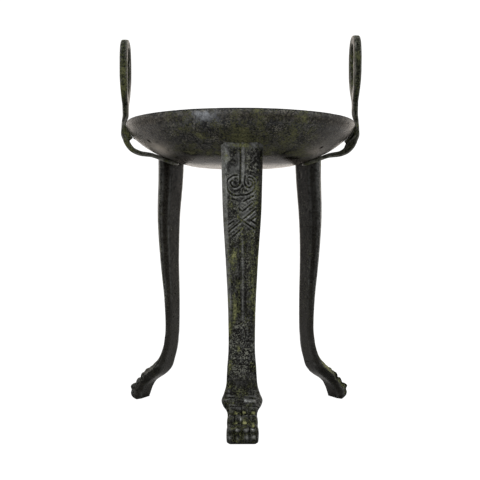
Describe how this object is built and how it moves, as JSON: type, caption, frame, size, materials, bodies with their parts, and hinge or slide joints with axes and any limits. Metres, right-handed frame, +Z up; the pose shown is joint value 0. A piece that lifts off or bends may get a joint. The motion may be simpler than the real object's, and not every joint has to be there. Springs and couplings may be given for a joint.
{
  "type": "tripod bronze ding vessel",
  "caption": "Shallow round bronze dish on slender curved legs with lion's-paw feet, with upright loop handles at its sides.",
  "frame": {"origin": "middle of the bounding box's underside, on the surface that the feet stand on; the dish's axis stands 8.6 mm behind it", "axes": "+Z up along the dish's axis, -Y towards the front leg, +X towards the right handle"},
  "size_m": [0.312, 0.3172, 0.4935],
  "materials": {
    "dish_bronze": "cast bronze with a dark brown-green patina, mottled",
    "leg_bronze": "cast bronze with a near-black patina, mossy green in the hollows",
    "handle_bronze": "cast bronze with a near-black patina, worn grey edges"
  },
  "bodies": {
    "root": {"bowl": "dish_bronze", "leg_front": "leg_bronze", "leg_left": "leg_bronze", "leg_right": "leg_bronze", "handle_left": "handle_bronze", "handle_right": "handle_bronze"}
  },
  "joints": []
}
